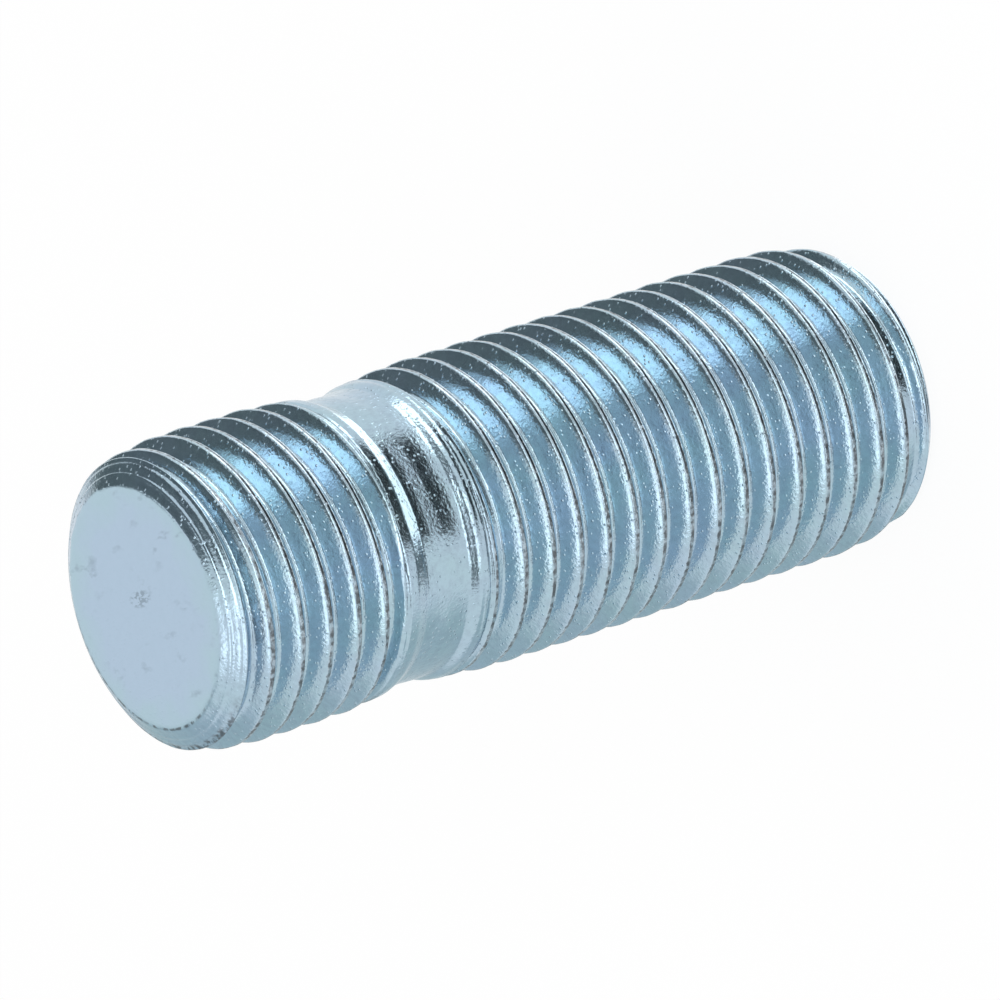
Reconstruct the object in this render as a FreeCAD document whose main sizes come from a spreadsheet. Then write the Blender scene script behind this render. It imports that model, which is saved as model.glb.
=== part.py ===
"""Wheel stud: a double-ended stud, turned and thread-rolled from one steel bar.

The axis is Z. The stud stands on its nut end, with the long thread, and the
hub end, with the short thread, is at the top. Both threads are M14 x 1.5,
right-handed. Each threaded length is the body over the thread's crests: it
swells from the neck through the thread's run-out to the full crest, and
tapers again to the chamfer of its free end.
"""

import FreeCAD
import Part
import Sketcher
import os
import re

# Driving dimensions in millimetres
SIZES = {
    "crest_diameter": 13.85,
    "neck_diameter": 12.84,
    "neck_length": 1.9,
    # hub end, lengths in order from the free end to the neck
    "hub_face_diameter": 11.1,
    "hub_chamfer_length": 0.75,
    "hub_chamfer_diameter": 13.08,
    "hub_lead_length": 1.65,
    "hub_thread_length": 5.8,
    "hub_runout_length": 2.2,
    "hub_runout_diameter": 13.24,
    "hub_shoulder_length": 0.35,
    # nut end, lengths in order from the neck to the free end
    "nut_shoulder_length": 0.35,
    "collar_diameter": 13.3,
    "collar_length": 0.7,
    "nut_runout_length": 1.9,
    "nut_thread_length": 20.3,
    "nut_lead_length": 1.8,
    "nut_chamfer_diameter": 13.03,
    "nut_chamfer_length": 0.8,
    "nut_face_diameter": 11.7,
    # edges
    "rim_radius": 0.3,
    "neck_corner_radius": 0.3,
    "collar_edge_radius": 0.12,
}

# Sections from the free end of each thread to the neck, each one's length and its diameter at the far side
HUB_SECTIONS = [
    ("hub_chamfer_length", "hub_chamfer_diameter"),
    ("hub_lead_length", "crest_diameter"),
    ("hub_thread_length", "crest_diameter"),
    ("hub_runout_length", "hub_runout_diameter"),
    ("hub_shoulder_length", "neck_diameter"),
]
NUT_SECTIONS = [
    ("nut_chamfer_length", "nut_chamfer_diameter"),
    ("nut_lead_length", "crest_diameter"),
    ("nut_thread_length", "crest_diameter"),
    ("nut_runout_length", "collar_diameter"),
    ("collar_length", "collar_diameter"),
    ("nut_shoulder_length", "neck_diameter"),
]

doc = FreeCAD.newDocument("wheel_stud")
sheet = doc.addObject("Spreadsheet::Sheet", "Sizes")
for row, (alias, number) in enumerate(SIZES.items(), start=1):
    sheet.set(f"A{row}", alias)
    sheet.set(f"B{row}", str(number))
    sheet.setAlias(f"B{row}", alias)
doc.recompute()


def value(expression):
    """What an expression in the sheet's aliases comes to."""
    return float(sheet.evalExpression(expression))


def bound(expression):
    """The same expression, as another object of the document reads it."""
    return re.sub("[a-z_]+", r"<<Sizes>>.\g<0>", expression)


def origin_feature(body, role):
    """A plane or an axis of the body's own origin."""
    return next(feature for feature in body.Origin.OriginFeatures if feature.Role == role)


def profile_corners():
    """Half the stud's outline as (radius, height) expressions, up from the middle of the nut face."""
    corners = [("0", "0"), ("nut_face_diameter / 2", "0")]
    height = "0"
    for length, diameter in NUT_SECTIONS:
        height += f" + {length}"
        corners.append((f"{diameter} / 2", height))
    height += " + neck_length"
    diameters = ["hub_face_diameter"] + [diameter for _, diameter in HUB_SECTIONS]
    corners.append((f"{diameters[-1]} / 2", height))
    for index in reversed(range(len(HUB_SECTIONS))):
        height += f" + {HUB_SECTIONS[index][0]}"
        corners.append((f"{diameters[index]} / 2", height))
    corners.append(("0", height))
    return corners


def closed_sketch(body, name, corners):
    """A closed outline in the XZ plane, with every corner held by the sheet's values."""
    sketch = body.newObject("Sketcher::SketchObject", name)
    sketch.AttachmentSupport = (origin_feature(body, "XZ_Plane"), [""])
    sketch.MapMode = "FlatFace"
    points = [FreeCAD.Vector(value(radius), value(height), 0) for radius, height in corners]
    for index, point in enumerate(points):
        sketch.addGeometry(Part.LineSegment(point, points[(index + 1) % len(points)]), False)
    for index in range(len(points)):
        following = (index + 1) % len(points)
        sketch.addConstraint(Sketcher.Constraint("Coincident", index, 2, following, 1))
    for index, (corner, point) in enumerate(zip(corners, points)):
        for direction, other_axis, expression in (("X", -2, corner[0]), ("Y", -1, corner[1])):
            if expression == "0":
                sketch.addConstraint(Sketcher.Constraint("PointOnObject", index, 1, other_axis))
                continue
            offset = point.x if direction == "X" else point.y
            held = Sketcher.Constraint("Distance" + direction, -1, 1, index, 1, offset)
            number = sketch.addConstraint(held)
            sketch.setExpression(f"Constraints[{number}]", bound(expression))
    return sketch


def ring_edges(shape, corners):
    """Names of the circular edges at the given corners of the profile."""
    names = []
    for radius, height in corners:
        for number, edge in enumerate(shape.Edges, start=1):
            circle = edge.Curve
            if circle.TypeId != "Part::GeomCircle":
                continue
            miss = max(abs(circle.Radius - value(radius)), abs(circle.Center.z - value(height)))
            if miss < 1e-4:
                names.append(f"Edge{number}")
    if len(names) != len(corners):
        raise RuntimeError(f"{len(corners)} edges are to be rounded, but {len(names)} were found")
    return names


def rounded(body, base, name, corners, radius):
    """A fillet along the edges that the profile's corners made."""
    fillet = body.newObject("PartDesign::Fillet", name)
    fillet.Base = (base, ring_edges(base.Shape, corners))
    fillet.setExpression("Radius", bound(radius))
    doc.recompute()
    return fillet


stud = doc.addObject("PartDesign::Body", "wheel_stud")
stud.Label = "wheel_stud"
outline = profile_corners()
profile = closed_sketch(stud, "Profile", outline)
turned = stud.newObject("PartDesign::Revolution", "Turned")
turned.Profile = profile
turned.ReferenceAxis = (origin_feature(stud, "Z_Axis"), [""])
turned.Angle = 360
profile.Visibility = False
doc.recompute()

# The neck lies between the last corner of the nut side and the first corner of the hub side
nut_side = outline[1:len(NUT_SECTIONS) + 2]
hub_side = outline[len(NUT_SECTIONS) + 2:-1]
face_edges = [nut_side[0], hub_side[-1]]
neck_corners = [nut_side[-1], hub_side[0]]
collar_edge = [nut_side[-2]]
rims = rounded(stud, turned, "Rims", face_edges, "rim_radius")
necked = rounded(stud, rims, "NeckCorners", neck_corners, "neck_corner_radius")
rounded(stud, necked, "CollarEdge", collar_edge, "collar_edge_radius")

doc.recompute()
failed = [item.Name for item in doc.Objects if {"Invalid", "Error"} & set(item.State)]
if failed:
    raise RuntimeError("these objects failed: " + ", ".join(failed))
if stud.Shape.isNull() or not stud.Shape.isValid():
    raise RuntimeError("the stud's shape is missing or not valid")
print("length", round(stud.Shape.BoundBox.ZLength, 3), "mm, volume", round(stud.Shape.Volume, 1), "mm3")

os.makedirs("parts", exist_ok=True)
stud.Shape.exportStep("parts/" + stud.Label + ".step")
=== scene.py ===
# %% [markdown]
# # A zinc-plated wheel stud
# A wheel stud holds a car's wheel to its hub. This one has a thread at each end: the short one is screwed
# into the hub, and the long one takes the wheel nut. Between them a plain neck and a narrow collar stop
# it. The whole stud is one piece of steel. Its threads are not cut but rolled: hard dies press grooves
# into the bar, and the steel that they push aside rises between them as crests. The part stands on its
# nut end, with its axis along Z. All lengths below are in millimetres, and are turned into metres only
# where Blender needs them.

# %% The frame
import math

import bpy
from mathutils import Matrix, Vector


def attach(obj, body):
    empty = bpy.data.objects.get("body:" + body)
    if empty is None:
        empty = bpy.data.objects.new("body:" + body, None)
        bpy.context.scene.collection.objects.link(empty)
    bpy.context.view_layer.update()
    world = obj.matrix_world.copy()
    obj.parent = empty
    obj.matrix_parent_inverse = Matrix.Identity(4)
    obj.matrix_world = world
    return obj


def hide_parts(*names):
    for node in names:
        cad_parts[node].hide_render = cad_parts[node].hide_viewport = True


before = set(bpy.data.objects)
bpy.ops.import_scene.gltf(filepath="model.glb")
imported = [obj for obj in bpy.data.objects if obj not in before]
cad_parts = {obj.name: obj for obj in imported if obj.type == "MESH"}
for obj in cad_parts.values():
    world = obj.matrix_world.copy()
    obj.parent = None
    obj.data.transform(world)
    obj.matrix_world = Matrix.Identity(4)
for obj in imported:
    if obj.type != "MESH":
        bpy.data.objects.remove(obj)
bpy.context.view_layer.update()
MM = 0.001


# %% [markdown]
# ## The camera
# The photograph looks at the stud from the side, from above its hub end, through a long lens that hardly
# narrows the far end. A camera can be aimed with a constraint, but here its three own directions are
# known from the picture's outlines, so they are written straight into its matrix as columns. The
# picture's upright is nearly the part's X axis, because the part stands while the stud in the photograph
# lies.

# %% The camera's place and lens
CAMERA_PLACE = Vector((-0.155, -566.96, 396.38)) * MM
CAMERA_UP = Vector((0.95398, -0.16603, -0.24971))
CAMERA_RIGHT = Vector((-0.29987, -0.52819, -0.79441))
SENSOR_WIDTH = 36.0
PICTURE_WIDTH = 1000.0
FOCAL_LENGTH = 15719.0 * SENSOR_WIDTH / PICTURE_WIDTH
NEAREST_SEEN = 0.01
FARTHEST_SEEN = 50.0


def aimed_camera():
    """The camera of the photograph."""
    data = bpy.data.cameras.new("photo_camera")
    data.lens = FOCAL_LENGTH
    data.sensor_width = SENSOR_WIDTH
    data.clip_start = NEAREST_SEEN
    data.clip_end = FARTHEST_SEEN
    camera = bpy.data.objects.new("photo_camera", data)
    backwards = CAMERA_RIGHT.cross(CAMERA_UP).normalized()
    upright = backwards.cross(CAMERA_RIGHT).normalized()
    turned = Matrix((CAMERA_RIGHT.normalized(), upright, backwards)).transposed()
    camera.matrix_world = Matrix.Translation(CAMERA_PLACE) @ turned.to_4x4()
    bpy.context.scene.collection.objects.link(camera)
    return camera


bpy.context.scene.camera = aimed_camera()
print("camera", round(CAMERA_PLACE.length, 3), "m away, lens", round(FOCAL_LENGTH, 1), "mm")


# %% [markdown]
# ## The stud's sizes
# Two lists say how far the steel reaches out at each height. The first one follows the crests, from the
# nut end up. They swell from the neck, because the dies press harder there turn by turn, and fall again
# to the chamfer at each end. Between the threads it follows the collar, the neck and the rounded
# shoulder. The second list is for the bottoms of the grooves: the dies are bevelled at their edges, so
# beside the neck the grooves run out on a short cone. A bottom beyond the crests means that there is no
# groove.

# %% Heights and radii along the axis
LENGTH = 38.5
CREST_RADIUS = 6.92
ROOT_RADIUS = 6.0
NO_GROOVE = 7.0
NUT_THREAD = [
    (0.0, 6.20), (0.9, 6.51), (1.2, 6.56), (1.6, 6.69), (2.1, 6.78), (2.7, 6.86), (3.3, CREST_RADIUS),
    (22.2, CREST_RADIUS), (23.0, 6.89), (23.7, 6.83), (24.3, 6.765), (24.6, 6.73), (25.03, 6.695),
]
COLLAR = [
    (25.07, 6.688), (25.15, 6.66), (25.18, 6.653), (25.3, 6.653), (25.33, 6.66), (25.37, 6.659),
    (25.55, 6.61), (25.85, 6.455), (26.2, 6.437),
]
NECK_AND_SHOULDER = [
    (26.7, 6.42), (28.1, 6.42), (28.14, 6.43), (28.70, 6.676), (28.78, 6.70), (28.9, 6.715), (29.2, 6.735),
]
HUB_THREAD = [
    (29.5, 6.78), (29.9, 6.85), (30.6, 6.90), (31.2, CREST_RADIUS), (35.1, CREST_RADIUS), (35.8, 6.87),
    (36.4, 6.81), (36.9, 6.71), (37.3, 6.63), (37.6, 6.54), (LENGTH, 6.30),
]
CRESTS = NUT_THREAD + COLLAR + NECK_AND_SHOULDER + HUB_THREAD
GROOVES = [
    (24.4, ROOT_RADIUS), (24.8, 6.60), (25.0, 6.64), (25.05, NO_GROOVE), (29.2, NO_GROOVE), (29.24, 6.66),
    (29.4, 6.675), (29.45, 6.66), (29.67, 6.05), (29.9, ROOT_RADIUS), (37.3, ROOT_RADIUS), (37.7, 6.34),
    (37.8, NO_GROOVE),
]
print(len(CRESTS), "corners along the crests and", len(GROOVES), "along the grooves' bottoms")


# %% [markdown]
# A rolled thread is one groove that winds up the bar. Its pitch is the step from one crest to the next.
# Each thread is rolled in its own pass, so the two of them don't line up: the hub thread sits a hair
# lower than the nut thread's winding would put it.

# %% The winding
PITCH = 1.5
CREST_AT_X_AXIS = 1.12
HUB_THREAD_SHIFT = -0.027
SHIFT_HEIGHTS = (26.0, 27.5)
print("the stud is", round(LENGTH / PITCH, 2), "pitches long, and", 2 * CREST_RADIUS, "mm across its crests")


# %% [markdown]
# ## The rolled surface
# A thread can be made with a Screw modifier, or by sweeping its section along a helix. Both leave loose
# ends where the thread fades out. Here the whole skin of the stud is one sheet of squares in a Geometry
# Nodes tree. The rows of the sheet run along the helix, so that each crest edge lies on one row and stays
# crisp. The tree first works out each corner's height and turn, and then rolls the sheet round the axis
# at the radius that the thread has there. Two round end caps of level rings close it. A node tree in a
# script gets long, so a few helpers come first. Each adds its nodes and hands back an output, and one of
# them reads a list of corners as a chain of straight runs.

# %% Small helpers for wiring nodes
def wire(tree, socket, value):
    """Sets an input socket to a number, or links an output to it."""
    if isinstance(value, bpy.types.NodeSocket):
        tree.links.new(value, socket)
    elif value is not None:
        socket.default_value = value


def made(tree, kind, inputs=(), **settings):
    """A new node with its settings and inputs set."""
    node = tree.nodes.new(kind)
    for name, value in settings.items():
        setattr(node, name, value)
    for name, value in dict(inputs).items():
        wire(tree, node.inputs[name], value)
    return node


def calc(tree, operation, *values):
    """The result of a Math node."""
    node = made(tree, "ShaderNodeMath", operation=operation)
    for socket, value in zip(node.inputs, values):
        wire(tree, socket, value)
    return node.outputs[0]


def ramp(tree, value, start, end, low, high, kind="LINEAR"):
    """A value that goes from low to high as another goes from start to end."""
    inputs = {"Value": value, "From Min": start, "From Max": end, "To Min": low, "To Max": high}
    return made(tree, "ShaderNodeMapRange", inputs, interpolation_type=kind).outputs["Result"]


def along(tree, height, corners):
    """The radius at a height, by straight runs between corners: the first radius plus each run's change."""
    radius = corners[0][1]
    for (start, low), (end, high) in zip(corners, corners[1:]):
        if low != high:
            radius = calc(tree, "ADD", radius, ramp(tree, height, start, end, 0.0, high - low))
    return radius


# %% [markdown]
# ### The thread's section
# The section is a curve over one pitch, from the middle of a crest up to the middle of the next one. A
# rolled crest is nearly flat, with a fine lip at its edge towards the hub end, and it falls off more
# softly at its other edge. The flanks slope at about 60 degrees to the axis, and the groove's bottom is
# round. A Float Curve node holds such a shape in one place, and straight handles keep its corners sharp.

# %% The section of one pitch
GROOVE_DEPTH = CREST_RADIUS - ROOT_RADIUS
SECTION = [
    (0.0, 0.985), (0.035, 0.99), (0.061, 1.0), (0.101, 0.945),
    (0.383, 0.145), (0.428, 0.045), (0.466, 0.01), (0.5, 0.0), (0.534, 0.01), (0.572, 0.045), (0.617, 0.145),
    (0.899, 0.87), (0.94, 0.975), (1.0, 0.985),
]


def section_height(tree, past_crest):
    """How high the section stands: 0 at a groove's bottom and 1 at a crest's lip."""
    node = made(tree, "ShaderNodeFloatCurve", {"Value": past_crest})
    points = node.mapping.curves[0].points
    for index, (place, height) in enumerate(SECTION):
        if index in (0, 1):
            points[index].location = (place, height)
        else:
            points.new(place, height)
    for point in points:
        point.handle_type = "VECTOR"
    node.mapping.update()
    return node.outputs["Value"]


(flank_top, high), (flank_foot, low) = SECTION[3:5]
flank_slope = math.atan2((high - low) * GROOVE_DEPTH, (flank_foot - flank_top) * PITCH)
print("groove", round(GROOVE_DEPTH, 2), "mm deep, flanks at", round(math.degrees(flank_slope), 1), "degrees")


# %% [markdown]
# ### The tree
# Its inputs carry names, so the same tree can roll another stud. The flat sheet keeps three numbers in
# each corner's position: x is the part of a turn, y the largest radius allowed, and z the height.

# %% The tree's inputs
TREE_INPUTS = [
    ("Length", "NodeSocketFloat", LENGTH),
    ("Pitch", "NodeSocketFloat", PITCH),
    ("Crest at X axis", "NodeSocketFloat", CREST_AT_X_AXIS),
    ("Columns", "NodeSocketInt", 132),
    ("Rows per pitch", "NodeSocketInt", 24),
    ("Turns", "NodeSocketInt", 28),
    ("Waviness", "NodeSocketFloat", 0.05),
    ("Seed", "NodeSocketFloat", 7.0),
    ("Material", "NodeSocketMaterial", None),
]
roll_tree = bpy.data.node_groups.new("rolled_stud", "GeometryNodeTree")
roll_tree.interface.new_socket("Geometry", in_out="OUTPUT", socket_type="NodeSocketGeometry")
for name, kind, value in TREE_INPUTS:
    socket = roll_tree.interface.new_socket(name, in_out="INPUT", socket_type=kind)
    if value is not None:
        socket.default_value = value
given = roll_tree.nodes.new("NodeGroupInput").outputs
print("inputs of the tree:", ", ".join(name for name, _, _ in TREE_INPUTS))


# %% [markdown]
# The sheet starts as a plain grid. One helper makes such a grid and gives each corner's turn and row
# number, and another stores what has been worked out for each corner in its position.

# %% A grid that lies flat
def sheet_grid(tree, columns, rows):
    """A grid, with the part of a turn and the row's number of each corner."""
    corners_across = calc(tree, "ADD", columns, 1)
    corners_along = calc(tree, "ADD", rows, 1)
    sizes = {"Size X": 1.0, "Size Y": 1.0, "Vertices X": corners_across, "Vertices Y": corners_along}
    grid = made(tree, "GeometryNodeMeshGrid", sizes)
    corner = tree.nodes.new("GeometryNodeInputPosition").outputs[0]
    place = made(tree, "ShaderNodeSeparateXYZ", {"Vector": corner})
    turn = calc(tree, "ADD", place.outputs["X"], 0.5)
    row = calc(tree, "MULTIPLY", calc(tree, "ADD", place.outputs["Y"], 0.5), rows)
    return grid.outputs["Mesh"], turn, row


def laid_flat(tree, mesh, turn, limit, height):
    """The grid with its turn, largest radius and height as its position."""
    flat = made(tree, "ShaderNodeCombineXYZ", {"X": turn, "Y": limit, "Z": height}).outputs[0]
    return made(tree, "GeometryNodeSetPosition", {"Geometry": mesh, "Position": flat}).outputs[0]


# %% [markdown]
# Each row climbs by one pitch in a turn. Evenly spaced rows would be wasted on the straight flanks, so
# two sine waves crowd them towards the crests and the grooves' bottoms, where the section bends. The
# sheet starts two turns below the stud, and what lies past the end caps is clamped onto them.

# %% The flat sheet with its rows along the helix
NUT_CAP_TOP = 0.9
HUB_CAP_BOTTOM = 37.6
TURNS_BELOW = 2.0
CREST_CROWDING = 0.25
EVEN_CROWDING = 0.45

rows = calc(roll_tree, "MULTIPLY", given["Turns"], given["Rows per pitch"])
mesh, turn, row = sheet_grid(roll_tree, given["Columns"], rows)
pitches = calc(roll_tree, "DIVIDE", row, given["Rows per pitch"])
crowded = pitches
for amount, waves in ((CREST_CROWDING, 2 * math.pi), (EVEN_CROWDING, 4 * math.pi)):
    swing = calc(roll_tree, "SINE", calc(roll_tree, "MULTIPLY", pitches, waves))
    crowded = calc(roll_tree, "SUBTRACT", crowded, calc(roll_tree, "MULTIPLY", swing, amount / waves))
turns_up = calc(roll_tree, "SUBTRACT", calc(roll_tree, "ADD", crowded, turn), TURNS_BELOW)
climbed = calc(roll_tree, "MULTIPLY", turns_up, given["Pitch"])
height = calc(roll_tree, "ADD", climbed, given["Crest at X axis"])
height = calc(roll_tree, "ADD", height, ramp(roll_tree, height, *SHIFT_HEIGHTS, 0.0, HUB_THREAD_SHIFT))
kept_heights = {"Value": height, "Min": NUT_CAP_TOP, "Max": HUB_CAP_BOTTOM}
height = made(roll_tree, "ShaderNodeClamp", kept_heights).outputs[0]
helix_sheet = laid_flat(roll_tree, mesh, turn, 2 * CREST_RADIUS, height)
print("the sheet reaches from", NUT_CAP_TOP, "to", HUB_CAP_BOTTOM, "mm")


# %% [markdown]
# ### The end caps
# Each end face is flat in the middle. Round it runs a chamfer at about 54 degrees to the axis. The steel
# that the dies pushed outwards has curled over it as two fine lips. A cap is a grid of level rings, and
# its list gives each ring's radius and its depth below the end face. The first ring is the middle point.

# %% The two end caps
HUB_RINGS = [
    (0.0, 0.0), (2.0, 0.0), (4.0, 0.0), (5.12, 0.0), (5.27, 0.004), (5.36, 0.018), (5.44, 0.05), (5.52, 0.1),
    (5.61, 0.155), (5.70, 0.215), (5.79, 0.265), (5.87, 0.295), (5.895, 0.33), (5.93, 0.375), (6.01, 0.42),
    (6.11, 0.47), (6.21, 0.53), (6.28, 0.59), (6.305, 0.635), (6.36, 0.675), (6.45, 0.715), (6.49, 0.76),
    (6.50, 0.82), (6.54, 0.9),
]
NUT_RINGS = [
    (0.0, 0.0), (2.0, 0.0), (4.2, 0.0), (5.5, 0.0), (5.62, 0.0), (5.69, 0.01), (5.75, 0.04), (5.81, 0.09),
    (5.87, 0.15), (5.94, 0.22), (6.01, 0.29), (6.10, 0.36), (6.19, 0.43), (6.28, 0.51), (6.35, 0.59),
    (6.39, 0.65), (6.43, 0.72), (6.47, 0.80), (6.51, 0.9),
]


def end_cap(tree, rings):
    """A cap's grid with each corner's turn, radius and depth below the end face."""
    mesh, turn, ring = sheet_grid(tree, given["Columns"], len(rings) - 1)
    radius = along(tree, ring, [(number, out) for number, (out, _) in enumerate(rings)])
    depth = along(tree, ring, [(number, down) for number, (_, down) in enumerate(rings)])
    beyond = ramp(tree, ring, len(rings) - 2, len(rings) - 1, 0.0, CREST_RADIUS)
    return mesh, turn, calc(tree, "ADD", radius, beyond), depth


mesh, turn, limit, depth = end_cap(roll_tree, HUB_RINGS)
hub_cap = laid_flat(roll_tree, mesh, turn, limit, calc(roll_tree, "SUBTRACT", given["Length"], depth))
mesh, turn, limit, depth = end_cap(roll_tree, NUT_RINGS)
nut_cap = laid_flat(roll_tree, mesh, turn, limit, depth)
joined = roll_tree.nodes.new("GeometryNodeJoinGeometry")
for part in (nut_cap, hub_cap, helix_sheet):
    roll_tree.links.new(part, joined.inputs[0])
print("the caps have", len(HUB_RINGS), "and", len(NUT_RINGS), "rings")


# %% [markdown]
# ### Rolling it up
# No rolled thread is quite even. A noise that is read on a cylinder round the stud makes the crests
# wander up and down and rise and fall, and it has no seam where the sheet's edges meet.

# %% Noise round the stud
STEP_SCALE = 0.9
RAGGED_SCALE = 1.4

place = roll_tree.nodes.new("GeometryNodeInputPosition").outputs[0]
flat = made(roll_tree, "ShaderNodeSeparateXYZ", {"Vector": place}).outputs
turn, limit, height = flat["X"], flat["Y"], flat["Z"]
angle = calc(roll_tree, "MULTIPLY", turn, 2 * math.pi)
cosine, sine = calc(roll_tree, "COSINE", angle), calc(roll_tree, "SINE", angle)


def wander(tree, scale, seed_step, detail=2.0):
    """Noise round the stud, from -0.5 to 0.5, with its grain's size given by scale, per millimetre."""
    spot = made(tree, "ShaderNodeCombineXYZ", {"Z": height})
    wire(tree, spot.inputs["X"], calc(tree, "MULTIPLY", cosine, CREST_RADIUS))
    wire(tree, spot.inputs["Y"], calc(tree, "MULTIPLY", sine, CREST_RADIUS))
    seed = calc(tree, "ADD", given["Seed"], seed_step)
    inputs = {"Vector": spot.outputs[0], "W": seed, "Scale": scale, "Detail": detail}
    noise = made(tree, "ShaderNodeTexNoise", inputs, noise_dimensions="4D")
    return calc(tree, "SUBTRACT", noise.outputs[0], 0.5)


side_step = calc(roll_tree, "MULTIPLY", wander(roll_tree, STEP_SCALE, 0.0), given["Waviness"])
lowered = calc(roll_tree, "SUBTRACT", wander(roll_tree, RAGGED_SCALE, 3.0, 3.0), 0.5)
ragged = calc(roll_tree, "MULTIPLY", lowered, given["Waviness"])
print("the tree so far has", len(roll_tree.nodes), "nodes")


# %% [markdown]
# For any height and turn the tree finds how far past a crest the corner lies, measured along the axis.
# The section curve turns that into a depth below the crests, and the groove's bottom stops it where a
# groove runs out. A smooth minimum rounds the place where the two meet.

# %% The thread's radius at each corner
SOFT_SHARE = 0.4
SOFTEST = 0.08

hub_shift = ramp(roll_tree, height, *SHIFT_HEIGHTS, 0.0, HUB_THREAD_SHIFT)
from_first = calc(roll_tree, "SUBTRACT", height, given["Crest at X axis"])
from_first = calc(roll_tree, "SUBTRACT", from_first, hub_shift)
from_first = calc(roll_tree, "ADD", from_first, side_step)
phase = calc(roll_tree, "SUBTRACT", calc(roll_tree, "DIVIDE", from_first, given["Pitch"]), turn)
past_crest = calc(roll_tree, "SUBTRACT", phase, calc(roll_tree, "FLOOR", phase))
section = section_height(roll_tree, past_crest)
crest = along(roll_tree, height, CRESTS)
room = calc(roll_tree, "SUBTRACT", crest, along(roll_tree, height, GROOVES))
room = calc(roll_tree, "MAXIMUM", room, 0.0)
groove = calc(roll_tree, "MULTIPLY", calc(roll_tree, "SUBTRACT", 1.0, section), GROOVE_DEPTH)
softness = calc(roll_tree, "MINIMUM", calc(roll_tree, "MULTIPLY", room, SOFT_SHARE), SOFTEST)
radius = calc(roll_tree, "SUBTRACT", crest, calc(roll_tree, "SMOOTH_MIN", groove, room, softness))
radius = calc(roll_tree, "ADD", radius, calc(roll_tree, "MULTIPLY", ragged, section))
print("grooves between", GROOVES[0][0], "and", GROOVES[4][0], "mm run out to the plain neck")


# %% [markdown]
# On the caps the rings set the radius. The lips on the chamfer are a little uneven, and so is the rim of
# the face, where the plating has gathered. Nothing may stand out beyond the crests.

# %% Uneven lips and rim
LIPS = (5.8, 6.3)
LIPS_SHARE = 0.8
RIM_INNER = (5.0, 5.3)
RIM_OUTER = (5.4, 5.8)
RIM_SCALE = 2.2
RIM_STEP = 0.3

lips = calc(roll_tree, "MULTIPLY", ragged, ramp(roll_tree, limit, *LIPS, 0.0, LIPS_SHARE))
limit = calc(roll_tree, "ADD", limit, lips)
rim = ramp(roll_tree, limit, *RIM_INNER, 0.0, RIM_STEP)
rim = calc(roll_tree, "MULTIPLY", rim, ramp(roll_tree, limit, *RIM_OUTER, 1.0, 0.0))
rim = calc(roll_tree, "MULTIPLY", wander(roll_tree, RIM_SCALE, 5.0, 3.0), rim)
limit = calc(roll_tree, "ADD", limit, rim)
radius = calc(roll_tree, "MINIMUM", calc(roll_tree, "MINIMUM", radius, limit), CREST_RADIUS)
print("uneven lips from radius", LIPS[0], "mm, uneven rim from", RIM_INNER[0], "to", RIM_OUTER[1], "mm")


# %% [markdown]
# The finish will need to know where the crests are. The tree knows it already, so it marks each corner
# with its distance from the middle of the crest, as a share of half a pitch. Away from the threads the
# mark is 1.

# %% A mark for the crests
GROOVED = (0.05, 0.35)
OFF_CAPS = (CREST_RADIUS, 1.5 * CREST_RADIUS)

to_groove = calc(roll_tree, "ABSOLUTE", calc(roll_tree, "SUBTRACT", past_crest, 0.5))
across = calc(roll_tree, "SUBTRACT", 1.0, calc(roll_tree, "MULTIPLY", to_groove, 2.0))
threaded = ramp(roll_tree, room, *GROOVED, 0.0, 1.0)
threaded = calc(roll_tree, "MULTIPLY", threaded, ramp(roll_tree, limit, *OFF_CAPS, 0.0, 1.0))
near_crest = calc(roll_tree, "MULTIPLY", calc(roll_tree, "SUBTRACT", 1.0, across), threaded)
from_crest = calc(roll_tree, "SUBTRACT", 1.0, near_crest)
mark = {"Geometry": joined.outputs[0], "Name": "from_crest", "Value": from_crest}
marked = made(roll_tree, "GeometryNodeStoreNamedAttribute", data_type="FLOAT", domain="POINT")
for name, value in mark.items():
    wire(roll_tree, marked.inputs[name], value)
print("the mark is called", mark["Name"])


# %% [markdown]
# Last the sheet is rolled round the axis. Where its edges meet, corners that lie on top of each other are
# merged, and so are the caps' middle points, so the skin is closed.

# %% The rolled-up skin, closed and given its material
MERGE_DISTANCE = 0.002 * MM

rolled = {
    "X": calc(roll_tree, "MULTIPLY", calc(roll_tree, "MULTIPLY", radius, cosine), MM),
    "Y": calc(roll_tree, "MULTIPLY", calc(roll_tree, "MULTIPLY", radius, sine), MM),
    "Z": calc(roll_tree, "MULTIPLY", height, MM),
}
position = made(roll_tree, "ShaderNodeCombineXYZ", rolled).outputs[0]
skin = marked.outputs[0]
for kind, inputs in (
    ("GeometryNodeSetPosition", {"Position": position}),
    ("GeometryNodeMergeByDistance", {"Distance": MERGE_DISTANCE}),
    ("GeometryNodeSetShadeSmooth", {}),
    ("GeometryNodeRealizeInstances", {}),
    ("GeometryNodeSetMaterial", {"Material": given["Material"]}),
):
    skin = made(roll_tree, kind, {"Geometry": skin, **inputs}).outputs[0]
roll_tree.links.new(skin, roll_tree.nodes.new("NodeGroupOutput").inputs[0])
print("the tree has", len(roll_tree.nodes), "nodes")


# %% [markdown]
# ## The finish
# Bright zinc with a pale blue passivate: a thin, clear film over metal, so the steel-blue colour lies in
# the reflection itself. A Principled shader with full Metallic does that. All patterns read Object
# coordinates, which stay with the stud when it moves.

# %% The zinc plating and its helpers
zinc = bpy.data.materials.new("blue_zinc_plating")
zinc.use_nodes = True
paint = zinc.node_tree
shader = paint.nodes["Principled BSDF"]
shader.inputs["Metallic"].default_value = 1.0
where = paint.nodes.new("ShaderNodeTexCoord").outputs["Object"]


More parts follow.
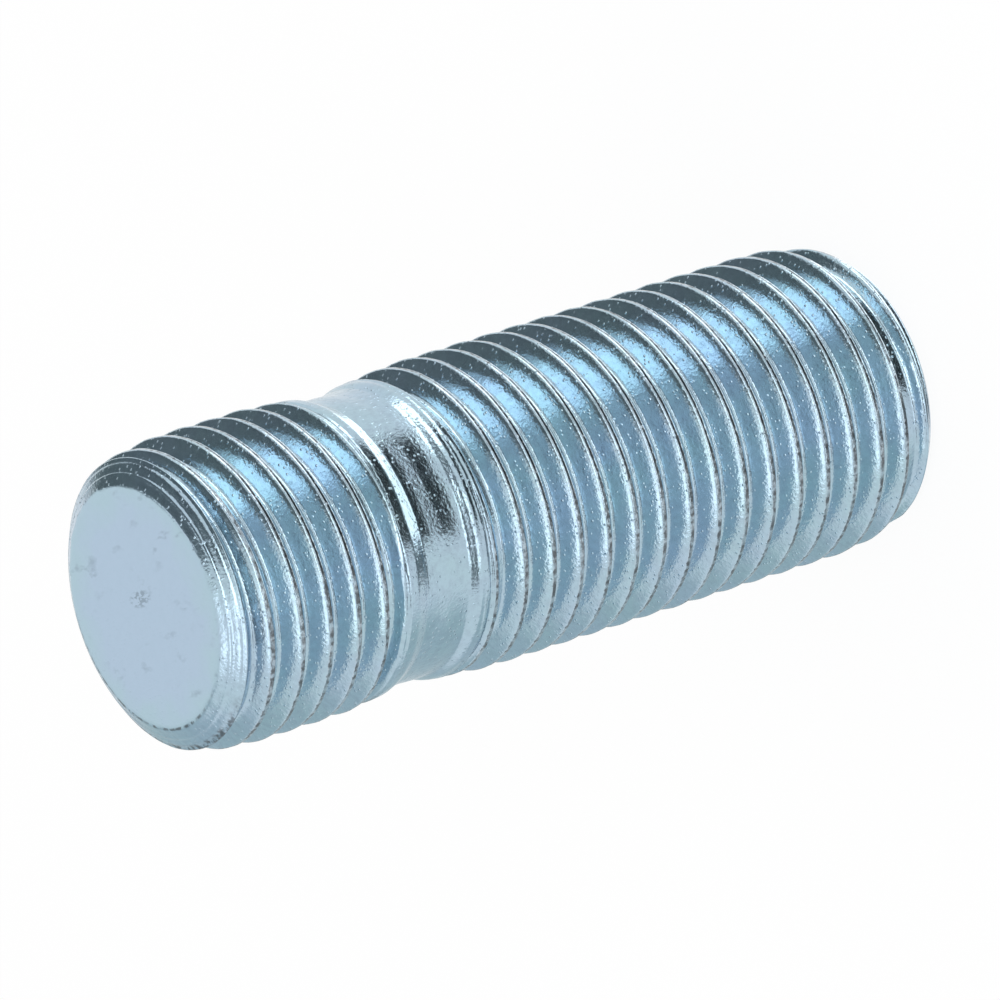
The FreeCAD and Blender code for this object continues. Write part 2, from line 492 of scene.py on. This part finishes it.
def noise_at(spot, size, detail):
    """Noise at a spot, with the size of its grains in millimetres."""
    inputs = {"Vector": spot, "Scale": 1.0 / (size * MM), "Detail": detail}
    return made(paint, "ShaderNodeTexNoise", inputs).outputs[0]


def grain(size, detail=3.0):
    """Noise on the metal, with the size of its grains in millimetres."""
    return noise_at(where, size, detail)


def blend_colour(factor, first, second):
    """A colour between two others."""
    node = made(paint, "ShaderNodeMix", data_type="RGBA")
    wire(paint, node.inputs[0], factor)
    wire(paint, node.inputs[6], first)
    wire(paint, node.inputs[7], second)
    return node.outputs[2]


print("the finish is called", zinc.name)


# %% [markdown]
# The film's thickness varies a little, so its tint drifts between blue and teal in patches of a few
# millimetres and is teal at the rim of the face. Rolling roughened the rest of the stud, so there the
# zinc is also mottled.

# %% Two tints and a mottled dulness
ZINC_BLUE = (0.43, 0.552, 0.685, 1.0)
ZINC_TEAL = (0.415, 0.572, 0.645, 1.0)
ZINC_DULL = (0.34, 0.44, 0.53, 1.0)
FACE_HEIGHTS = ((LENGTH - 0.05) * MM, (LENGTH - 0.01) * MM)
TINT_PATCHES, TINT_EDGES = 3.0, (0.35, 0.65)
LEAST_TEAL, MOST_TEAL = 0.3, 1.0
RIM_PATCHES, RIM_DRIFT = 1.5, 3.0 * MM
TEAL_RIM, TEAL_RIM_SHARE = (5.4 * MM, 6.9 * MM), 0.8
MOTTLES, MOTTLE_EDGES = 0.28, (0.42, 0.66)
MOTTLE_SHARE = 0.4

place = made(paint, "ShaderNodeSeparateXYZ", {"Vector": where}).outputs
squares = [calc(paint, "MULTIPLY", place[side], place[side]) for side in ("X", "Y")]
off_axis = calc(paint, "SQRT", calc(paint, "ADD", *squares))
on_face = ramp(paint, place["Z"], *FACE_HEIGHTS, 0.0, 1.0)
off_face = calc(paint, "SUBTRACT", 1.0, on_face)

drift = calc(paint, "MULTIPLY", grain(RIM_PATCHES), RIM_DRIFT)
face_rim = ramp(paint, calc(paint, "ADD", off_axis, drift), *TEAL_RIM, 0.0, TEAL_RIM_SHARE)
tint = ramp(paint, grain(TINT_PATCHES, 2.0), *TINT_EDGES, LEAST_TEAL, MOST_TEAL)
tint = calc(paint, "MULTIPLY", tint, off_face)
tint = calc(paint, "ADD", tint, calc(paint, "MULTIPLY", on_face, face_rim))
colour = blend_colour(tint, ZINC_BLUE, ZINC_TEAL)
mottled = ramp(paint, grain(MOTTLES, 4.0), *MOTTLE_EDGES, 0.0, MOTTLE_SHARE)
colour = blend_colour(calc(paint, "MULTIPLY", mottled, off_face), colour, ZINC_DULL)
print("teal from radius", TEAL_RIM[0] / MM, "mm outwards on the face, mottles of", MOTTLES, "mm")


# %% [markdown]
# The crests rub against everything in the box, so their plating is brighter, and the brighter lips are
# also a painted highlight. In the middle of each crest, where the steel from both flanks met, there is a
# fine seam. A dark ragged line sits in it, partly grime and partly painted shade, which breaks up along
# its length. It is wider on the stud's lower side, where the widening is painted shade. The tree's own
# mark says how far a point is from there.

# %% Worn crests with a painted highlight, and seams of grime and painted shade
# The lips' brighter colour is partly wear and partly a painted highlight. The dark colour is grime, and in
# the seams it is also painted shade.
ZINC_WORN_LIP_HIGHLIGHT = (0.54, 0.63, 0.70, 1.0)
GRIME_AND_SHADE = (0.075, 0.08, 0.085, 1.0)
LOWER_SIDE = Vector((-0.869, 0.494, 0.0))
WORN_HIGHLIGHT_BAND = (0.1, 0.2)
WORN_HIGHLIGHT_SPOTS, WORN_HIGHLIGHT_EDGES = 0.35, (0.35, 0.6)
LEAST_WORN_HIGHLIGHT, MOST_WORN_HIGHLIGHT = 0.2, 0.8
SEAM = (0.035, 0.075)
SHADE_SIDE_HEIGHTS, SHADE_WIDER_BELOW = (-5.5, -1.0), 0.08
RAGGED_SPOTS, RAGGED_EDGES, RAGGED = 0.2, (0.3, 0.7), 0.04
BREAKS, BREAK_EDGES = 0.3, (0.38, 0.6)
LEAST_GRIME_AND_SHADE, MOST_GRIME_AND_SHADE = 0.15, 0.85

from_crest = made(paint, "ShaderNodeAttribute", attribute_name="from_crest").outputs["Fac"]
# Brighter crest lips: partly wear, partly a painted highlight.
worn_highlight_spots = ramp(paint, grain(WORN_HIGHLIGHT_SPOTS), *WORN_HIGHLIGHT_EDGES, LEAST_WORN_HIGHLIGHT, MOST_WORN_HIGHLIGHT)
wear_and_highlight = calc(paint, "MULTIPLY", ramp(paint, from_crest, *WORN_HIGHLIGHT_BAND, 1.0, 0.0), worn_highlight_spots)
colour = blend_colour(wear_and_highlight, colour, ZINC_WORN_LIP_HIGHLIGHT)

downwards = made(paint, "ShaderNodeVectorMath", {0: where}, operation="DOT_PRODUCT")
downwards.inputs[1].default_value = LOWER_SIDE / MM
downwards = downwards.outputs["Value"]
# The dark seam line is partly grime and partly painted shade. Its widening on the lower side is painted
# shade.
lower_side_shade = ramp(paint, downwards, *SHADE_SIDE_HEIGHTS, 0.0, SHADE_WIDER_BELOW)
ragged_edge = ramp(paint, grain(RAGGED_SPOTS), *RAGGED_EDGES, -RAGGED, RAGGED)
past_grime_and_shade = calc(paint, "SUBTRACT", calc(paint, "ADD", from_crest, ragged_edge), lower_side_shade)
broken = ramp(paint, grain(BREAKS), *BREAK_EDGES, LEAST_GRIME_AND_SHADE, MOST_GRIME_AND_SHADE)
seam = calc(paint, "MULTIPLY", ramp(paint, past_grime_and_shade, *SEAM, 1.0, 0.0), broken)
colour = blend_colour(seam, colour, GRIME_AND_SHADE)
print("the seam reaches", round(SEAM[1] * PITCH / 2, 3), "mm from a crest's middle, and more below")


# %% [markdown]
# The end face was cut flat before plating. It shows faint smudges, and one small group of pits near its
# middle. Two noises make such smudges: a fine one gives their ragged shape, and a coarse one says where
# they gather. A Mapping node stretches both, because the face was wiped one way.

# %% Smudges and pits on the face
SMUDGE = (0.22, 0.29, 0.35, 1.0)
PITS = Vector((0.42, 0.0, LENGTH)) * MM
PITS_REACH = 0.42
PITS_STRENGTH, PITS_DARKEST = 2.4, 0.7
SMUDGE_SHARE = 0.4
stretched = made(paint, "ShaderNodeMapping", {"Vector": where, "Scale": (1.0, 0.45, 1.0)}).outputs[0]


def smudges(size, low, high):
    """Ragged spots on the face, longer one way, where their noise is above low."""
    return ramp(paint, noise_at(stretched, size, 4.0), low, high, 0.0, 1.0)


def near(spot, reach):
    """1 at a spot on the stud, and 0 from the reach outwards."""
    gap = made(paint, "ShaderNodeVectorMath", {0: stretched}, operation="DISTANCE")
    gap.inputs[1].default_value = spot
    return ramp(paint, gap.outputs["Value"], 0.0, reach * MM, 1.0, 0.0)


faint = calc(paint, "MULTIPLY", smudges(0.45, 0.56, 0.68), smudges(1.6, 0.5, 0.6))
faint = calc(paint, "MULTIPLY", calc(paint, "MULTIPLY", faint, SMUDGE_SHARE), on_face)
colour = blend_colour(faint, colour, SMUDGE)
pits = calc(paint, "MULTIPLY", near(PITS, PITS_REACH), smudges(0.16, 0.46, 0.58))
pits = calc(paint, "MULTIPLY", calc(paint, "MULTIPLY", pits, PITS_STRENGTH), on_face)
colour = blend_colour(calc(paint, "MINIMUM", pits, PITS_DARKEST), colour, SMUDGE)
print("pits at", tuple(round(number / MM, 2) for number in PITS), "mm")


# %% [markdown]
# Dirt has caught on the lower side of the hub end, in a thin ring at the rim of the face and in a wider
# one under the lips that have curled over the chamfer.

# %% Dirt at the rim
RIM_RINGS = [(5.36, 0.09), (6.38, 0.22)]
FULL_SHARE = 0.3
DIRT_BEGINS = ((LENGTH - 0.9) * MM, (LENGTH - 0.8) * MM)
DIRTY_SIDE = (1.5, 4.5)
DIRT_SPOTS, DIRT_EDGES = 0.35, (0.42, 0.6)
DIRT_DARKEST = 0.8

dirty = 0.0
for ring, width in RIM_RINGS:
    off_ring = calc(paint, "ABSOLUTE", calc(paint, "SUBTRACT", off_axis, ring * MM))
    band = ramp(paint, off_ring, FULL_SHARE * width * MM, width * MM, 1.0, 0.0)
    dirty = calc(paint, "ADD", dirty, band)
for value, edges in ((downwards, DIRTY_SIDE), (place["Z"], DIRT_BEGINS), (grain(DIRT_SPOTS), DIRT_EDGES)):
    dirty = calc(paint, "MULTIPLY", dirty, ramp(paint, value, *edges, 0.0, 1.0))
colour = blend_colour(calc(paint, "MINIMUM", dirty, DIRT_DARKEST), colour, GRIME_AND_SHADE)
wire(paint, shader.inputs["Base Color"], colour)
print("rings of dirt at radius", " and ".join(str(ring) for ring, _ in RIM_RINGS), "mm")


# %% [markdown]
# Bump makes the plating grainy: fine grains of about a tenth of a millimetre, shallow waves that the dies
# left, and scattered nodules of zinc that sparkle where they catch a light. The end face is smoother than
# the rest, and the dark seams, grime and painted shade, are rougher than the zinc.

# %% Roughness and bump
RELIEF = 0.012 * MM
FACE_RELIEF = 0.15
POLISH_SPOTS, POLISH_EDGES, POLISH = 0.4, (0.3, 0.7), (0.13, 0.21)
GRIME_AND_SHADE_ROUGHER = 0.1
WAVE_SIZE, WAVE_HEIGHT = 0.45, 0.4
GRAIN_SIZE, GRAIN_HEIGHT = 0.14, 1.2
NODULE_SIZE, NODULE_SHARE, NODULE_REACH = 0.17, 0.25, 0.4
CREST_SIDE = (0.1, 0.3)
CREST_NODULES, GROOVE_NODULES = 3.2, 2.2


def nodules(size, share):
    """Small domes, one in each Voronoi cell that the share picks."""
    cells = made(paint, "ShaderNodeTexVoronoi", {"Vector": where, "Scale": 1.0 / (size * MM)})
    picked = made(paint, "ShaderNodeSeparateColor", {"Color": cells.outputs["Color"]}).outputs[0]
    chosen = calc(paint, "LESS_THAN", picked, share)
    domes = ramp(paint, cells.outputs["Distance"], 0.0, NODULE_REACH, 1.0, 0.0, "SMOOTHSTEP")
    return calc(paint, "MULTIPLY", chosen, domes)


polish = ramp(paint, grain(POLISH_SPOTS), *POLISH_EDGES, *POLISH)
roughness = calc(paint, "ADD", polish, calc(paint, "MULTIPLY", seam, GRIME_AND_SHADE_ROUGHER))
wire(paint, shader.inputs["Roughness"], roughness)
waves = calc(paint, "MULTIPLY", grain(WAVE_SIZE, 2.0), WAVE_HEIGHT)
heights = ramp(paint, from_crest, *CREST_SIDE, CREST_NODULES, GROOVE_NODULES)
sparkles = calc(paint, "MULTIPLY", nodules(NODULE_SIZE, NODULE_SHARE), heights)
relief = calc(paint, "ADD", waves, sparkles)
relief = calc(paint, "ADD", relief, calc(paint, "MULTIPLY", grain(GRAIN_SIZE, 2.0), GRAIN_HEIGHT))
relief = calc(paint, "MULTIPLY", relief, ramp(paint, on_face, 0.0, 1.0, 1.0, FACE_RELIEF))
bump = made(paint, "ShaderNodeBump", {"Strength": 1.0, "Distance": RELIEF, "Height": relief})
wire(paint, shader.inputs["Normal"], bump.outputs["Normal"])
print("the finish has", len(paint.nodes), "nodes")


# %% [markdown]
# ## The stud itself
# A Nodes modifier on an empty mesh runs the tree. The stud is handed on as a plain mesh, so the result is
# copied into one and the modifier is taken off again.

# %% The stud as a plain mesh
stud = bpy.data.objects.new("threaded_stud", bpy.data.meshes.new("threaded_stud"))
bpy.context.scene.collection.objects.link(stud)
rolling = stud.modifiers.new("rolling", "NODES")
rolling.node_group = roll_tree
for item in roll_tree.interface.items_tree:
    if item.name == "Material":
        rolling[item.identifier] = zinc
evaluated = stud.evaluated_get(bpy.context.evaluated_depsgraph_get())
stud_mesh = bpy.data.meshes.new_from_object(evaluated)
stud.modifiers.remove(rolling)
stud.data = stud_mesh
triangles = sum(len(face.vertices) - 2 for face in stud_mesh.polygons)
print("the stud has", triangles, "triangles")


# %% [markdown]
# ## Studio
# A white room lights the metal from all sides, and the metal mirrors it. To the camera and to mirrors the
# floor and the room are plain white, and to dull surfaces they are dimmer, so nothing is lit too
# brightly. A Light Path node tells the two apart. The floor still takes the stud's soft shadow.

# %% The floor
FLOOR_REACH = 3.0
FLOOR_WHITE = (0.9, 0.9, 0.9, 1.0)
FLOOR_GLOW = 1.05
GLOW_SHARE = 0.86
WHITE = (1.0, 1.0, 1.0, 1.0)


def plain_material(name):
    """A material with an empty node tree."""
    material = bpy.data.materials.new(name)
    material.use_nodes = True
    material.node_tree.nodes.clear()
    return material


def seen_directly(tree):
    """1 for rays from the camera or a mirror or glass, and 0 for light on a dull surface."""
    rays = tree.nodes.new("ShaderNodeLightPath").outputs
    seen = calc(tree, "MAXIMUM", rays["Is Camera Ray"], rays["Is Glossy Ray"])
    return calc(tree, "MAXIMUM", seen, rays["Is Transmission Ray"])


def mixed_surface(tree, share, first, second):
    """Makes a mix of two shaders the material's surface."""
    mixed = made(tree, "ShaderNodeMixShader")
    for socket, value in zip(mixed.inputs, (share, first, second)):
        wire(tree, socket, value)
    wire(tree, tree.nodes.new("ShaderNodeOutputMaterial").inputs["Surface"], mixed.outputs[0])


floor_material = plain_material("white_floor")
tree = floor_material.node_tree
dull = made(tree, "ShaderNodeBsdfDiffuse", {"Color": FLOOR_WHITE}).outputs[0]
bright = made(tree, "ShaderNodeEmission", {"Color": WHITE, "Strength": FLOOR_GLOW}).outputs[0]
mixed_surface(tree, calc(tree, "MULTIPLY", seen_directly(tree), GLOW_SHARE), dull, bright)

floor_mesh = bpy.data.meshes.new("floor")
floor_corners = [(x * FLOOR_REACH, y * FLOOR_REACH, 0) for x, y in ((-1, -1), (1, -1), (1, 1), (-1, 1))]
floor_mesh.from_pydata(floor_corners, [], [(0, 1, 2, 3)])
floor = bpy.data.objects.new("floor", floor_mesh)
floor.data.materials.append(floor_material)
floor.visible_glossy = floor.visible_shadow = False
bpy.context.scene.collection.objects.link(floor)
print("the floor is", 2 * FLOOR_REACH, "m across")

# %% The white room
ROOM_SEEN = 1.0
ROOM_LIGHT = 0.6

world = bpy.data.worlds.new("white_room")
bpy.context.scene.world = world
world.use_nodes = True
tree = world.node_tree
strength = ramp(tree, seen_directly(tree), 0.0, 1.0, ROOM_LIGHT, ROOM_SEEN)
wire(tree, tree.nodes["Background"].inputs["Strength"], strength)
tree.nodes["Background"].inputs["Color"].default_value = WHITE
print("the room is", ROOM_SEEN, "bright to the eye, and lights dull things with", ROOM_LIGHT)


# %% [markdown]
# ### What the metal mirrors
# In an all-white room bright metal looks flat. Dark screens out of the camera's sight give it the dark
# reflections that show its shape, as in any photograph of a bright part. Each screen covers a patch of
# the sky round the stud, and a patch is easiest to place by two angles. Screens for the thread's flanks
# use the room's own angles, with the stud lying in it. Screens for the round body use the turn round the
# stud's axis.

# %% Directions round the lying stud
UPWARDS = Vector((0.869, -0.494, 0.0)).normalized()
LEFTWARDS = Vector((0.0, 0.0, 1.0))
FRONTWARDS = UPWARDS.cross(LEFTWARDS)


def seen_from_stud(azimuth, elevation):
    """A direction in the lying stud's room: azimuth from the front to the hub end's side, and elevation."""
    turn, rise = math.radians(azimuth), math.radians(elevation)
    level = FRONTWARDS * math.cos(turn) + LEFTWARDS * math.sin(turn)
    return (level * math.cos(rise) + UPWARDS * math.sin(rise)).normalized()


def round_the_stud(longitude, latitude):
    """A direction by its turn round the stud's axis, from the front up, and its lean to the hub end."""
    turn, lean = math.radians(longitude), math.radians(latitude)
    across = FRONTWARDS * math.cos(turn) + UPWARDS * math.sin(turn)
    return (across * math.cos(lean) + LEFTWARDS * math.sin(lean)).normalized()


print("upwards is", tuple(round(number, 3) for number in UPWARDS))


# %% [markdown]
# A screen is a piece of a sphere. It fades out towards its edges, because a real screen that stands close
# to a small part is out of focus in its reflection. A UV map spreads from 0 to 1 over it and drives that
# fade. Only reflections see the screens, so they throw no shadow.

# %% How a screen is made
SCREEN_DISTANCE = 0.6
SCREEN_STEPS = 12
SCREEN_TINT = Vector((0.88, 1.0, 1.03))
FULL_CIRCLE = 360


def screen_mesh(name, looking, azimuths, elevations):
    """A grid of directions at the screens' distance, with a UV map that spreads over it."""
    corners, faces, spots = [], [], []
    across = SCREEN_STEPS + 1
    for row in range(across):
        for column in range(across):
            azimuth = azimuths[0] + (azimuths[1] - azimuths[0]) * column / SCREEN_STEPS
            elevation = elevations[0] + (elevations[1] - elevations[0]) * row / SCREEN_STEPS
            corners.append(looking(azimuth, elevation) * SCREEN_DISTANCE)
            spots.append((column / SCREEN_STEPS, row / SCREEN_STEPS))
    for row in range(SCREEN_STEPS):
        for column in range(SCREEN_STEPS):
            first = row * across + column
            faces.append((first, first + 1, first + across + 1, first + across))
    mesh = bpy.data.meshes.new(name)
    mesh.from_pydata(corners, [], faces)
    layer = mesh.uv_layers.new(name="spread")
    for loop in mesh.loops:
        layer.data[loop.index].uv = spots[loop.vertex_index]
    return mesh


def screen_material(name, azimuths, elevations, softness, shade):
    """A plain shade that fades out over the softness, in degrees, along each edge."""
    material = plain_material(name)
    tree = material.node_tree
    uv = tree.nodes.new("ShaderNodeTexCoord").outputs["UV"]
    spread = made(tree, "ShaderNodeSeparateXYZ", {"Vector": uv}).outputs
    cover = 1.0
    for side, span in (("X", azimuths), ("Y", elevations)):
        if span[1] - span[0] == FULL_CIRCLE:
            continue
        soft = softness / (span[1] - span[0])
        fade_in = ramp(tree, spread[side], 0.0, soft, 0.0, 1.0, "SMOOTHSTEP")
        fade_out = ramp(tree, spread[side], 1.0 - soft, 1.0, 1.0, 0.0, "SMOOTHSTEP")
        cover = calc(tree, "MULTIPLY", cover, calc(tree, "MULTIPLY", fade_in, fade_out))
    clear = tree.nodes.new("ShaderNodeBsdfTransparent").outputs[0]
    shaded = made(tree, "ShaderNodeEmission", {"Color": (*(SCREEN_TINT * shade), 1.0)}).outputs[0]
    mixed_surface(tree, cover, clear, shaded)
    return material


def dark_screen(name, looking, azimuths, elevations, softness, shade):
    """A curved screen with soft edges, which only reflections see."""
    mesh = screen_mesh(name, looking, azimuths, elevations)
    mesh.materials.append(screen_material(name, azimuths, elevations, softness, shade))
    screen = bpy.data.objects.new(name, mesh)
    screen.visible_camera = screen.visible_shadow = screen.visible_diffuse = False
    bpy.context.scene.collection.objects.link(screen)


# %% [markdown]
# The left screens darken the top of the thread and of the chamfer, and the front screen the collar's
# slope. The neck screen makes the dark patch on the neck, the right and end screens the far flanks, and
# the table's shade the pale grey of the underside.

# %% The screens
SCREENS = [
    ("left_screen", seen_from_stud, (84, 177), (5, 35), 8, 0.17),
    ("left_screen_top", seen_from_stud, (84, 174), (22, 37), 6, 0.07),
    ("left_screen_back", seen_from_stud, (126, 186), (-14, 16), 9, 0.17),
    ("left_screen_front", seen_from_stud, (66, 92), (12, 37), 4, 0.12),
    ("neck_screen", round_the_stud, (12, 104), (-52, -24), 4, 0.03),
    ("right_screen", round_the_stud, (-38, 102), (-82, -41), 8, 0.2),
    ("end_screen", round_the_stud, (-180, 180), (-90, -64), 8, 0.2),
    ("front_screen", round_the_stud, (-30, 108), (10, 27), 5, 0.12),
    ("table_shade", seen_from_stud, (94, 335), (-89, -22), 22, 0.66),
]
for screen in SCREENS:
    dark_screen(*screen)
print(len(SCREENS), "screens stand round the stud")


# %% [markdown]
# ### Lamps
# Five soft boxes stand round the stud, and each one is there for the highlight that it makes: the light
# band high on the thread, the gloss along the middle, the white line on each crest, the bright lower half
# of the chamfer and the line on the shoulder. An area lamp's light comes on top of the room's white
# behind it.

# %% Soft lamps
LAMP_DISTANCE = 0.5
STEEP = 70
STUD_MIDDLE = Vector((0, 0, LENGTH / 2 * MM))
LAMPS = [
    ("overhead_lamp", (-163, 80), (0.29, 0.43), 1.9),
    ("side_lamp", (0, 14), (0.10, 0.5), 1.3),
    ("lip_lamp", (47, 22), (0.20, 0.42), 1.6),
    ("chamfer_lamp", (70, -16), (0.18, 0.28), 0.9),
    ("right_lamp", (-98, 12), (0.68, 0.23), 1.9),
]


def soft_lamp(name, place, size, brightness):
    """A soft box that points at the stud. Its brightness is set against a white surface's 1."""
    data = bpy.data.lights.new(name, "AREA")
    data.shape = "RECTANGLE"
    data.size, data.size_y = size
    data.energy = brightness * math.pi * size[0] * size[1]
    lamp = bpy.data.objects.new(name, data)
    backwards = seen_from_stud(*place)
    sideways = (LEFTWARDS if abs(place[1]) > STEEP else UPWARDS.cross(backwards)).normalized()
    sideways = (sideways - backwards * sideways.dot(backwards)).normalized()
    turned = Matrix((sideways, backwards.cross(sideways), backwards)).transposed()
    lamp.matrix_world = Matrix.Translation(STUD_MIDDLE + backwards * LAMP_DISTANCE) @ turned.to_4x4()
    lamp.visible_camera = False
    bpy.context.scene.collection.objects.link(lamp)


for lamp in LAMPS:
    soft_lamp(*lamp)
print("lamps:", ", ".join(name for name, *_ in LAMPS))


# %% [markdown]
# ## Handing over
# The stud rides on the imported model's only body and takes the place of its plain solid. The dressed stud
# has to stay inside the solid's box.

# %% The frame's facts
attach(stud, "root")
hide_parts("wheel_stud")
bpy.context.scene.view_settings.view_transform = "Standard"
